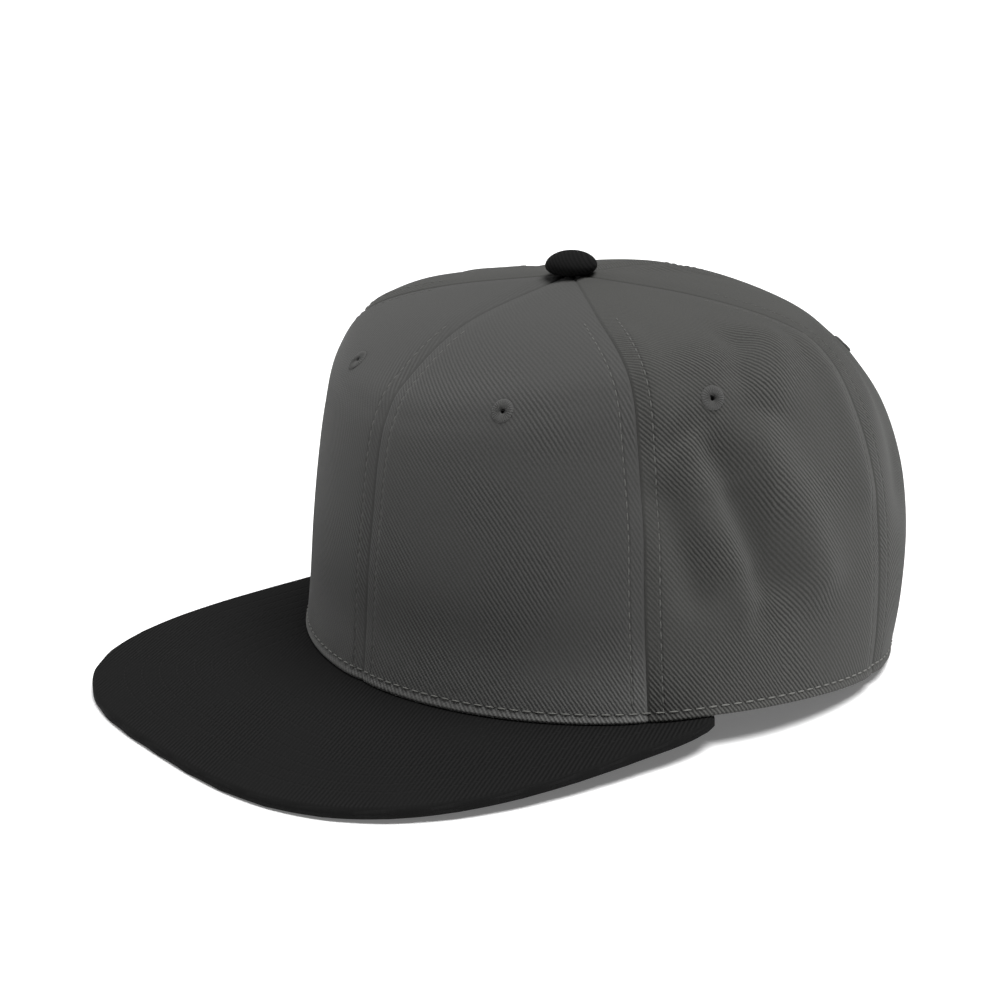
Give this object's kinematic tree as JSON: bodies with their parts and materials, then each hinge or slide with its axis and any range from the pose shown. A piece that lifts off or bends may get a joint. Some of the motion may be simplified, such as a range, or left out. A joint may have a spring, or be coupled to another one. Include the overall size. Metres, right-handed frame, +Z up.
{
  "type": "snapback cap",
  "caption": "Structured cap with a panelled grey crown, a flat black peak, a covered top button, stitched eyelets, an inner sweatband and a plastic snap closure at the back.",
  "frame": {"origin": "middle of the cap's box, on the surface that it stands on", "axes": "+Z is up out of the button, the peak points along -Y and the wearer's left is +X"},
  "size_m": [0.189, 0.2542, 0.1249],
  "materials": {
    "grey_twill": "matte twill weave",
    "grey_thread": "matte embroidery thread",
    "black_twill": "matte twill weave",
    "black_cotton": "matte plain weave",
    "black_plastic": "satin moulded"
  },
  "bodies": {
    "root": {"panel_front_left": "grey_twill", "panel_front_right": "grey_twill", "panel_side_left": "grey_twill", "panel_side_right": "grey_twill", "panel_back_left": "grey_twill", "panel_back_right": "grey_twill", "eyelet_front_left": "grey_thread", "eyelet_front_right": "grey_thread", "eyelet_side_left": "grey_thread", "eyelet_side_right": "grey_thread", "eyelet_back_left": "grey_thread", "eyelet_back_right": "grey_thread", "button": "black_twill", "brim": "black_twill", "sweatband": "black_cotton", "strap_holes": "black_plastic", "strap_pegs": "black_plastic"}
  },
  "joints": []
}
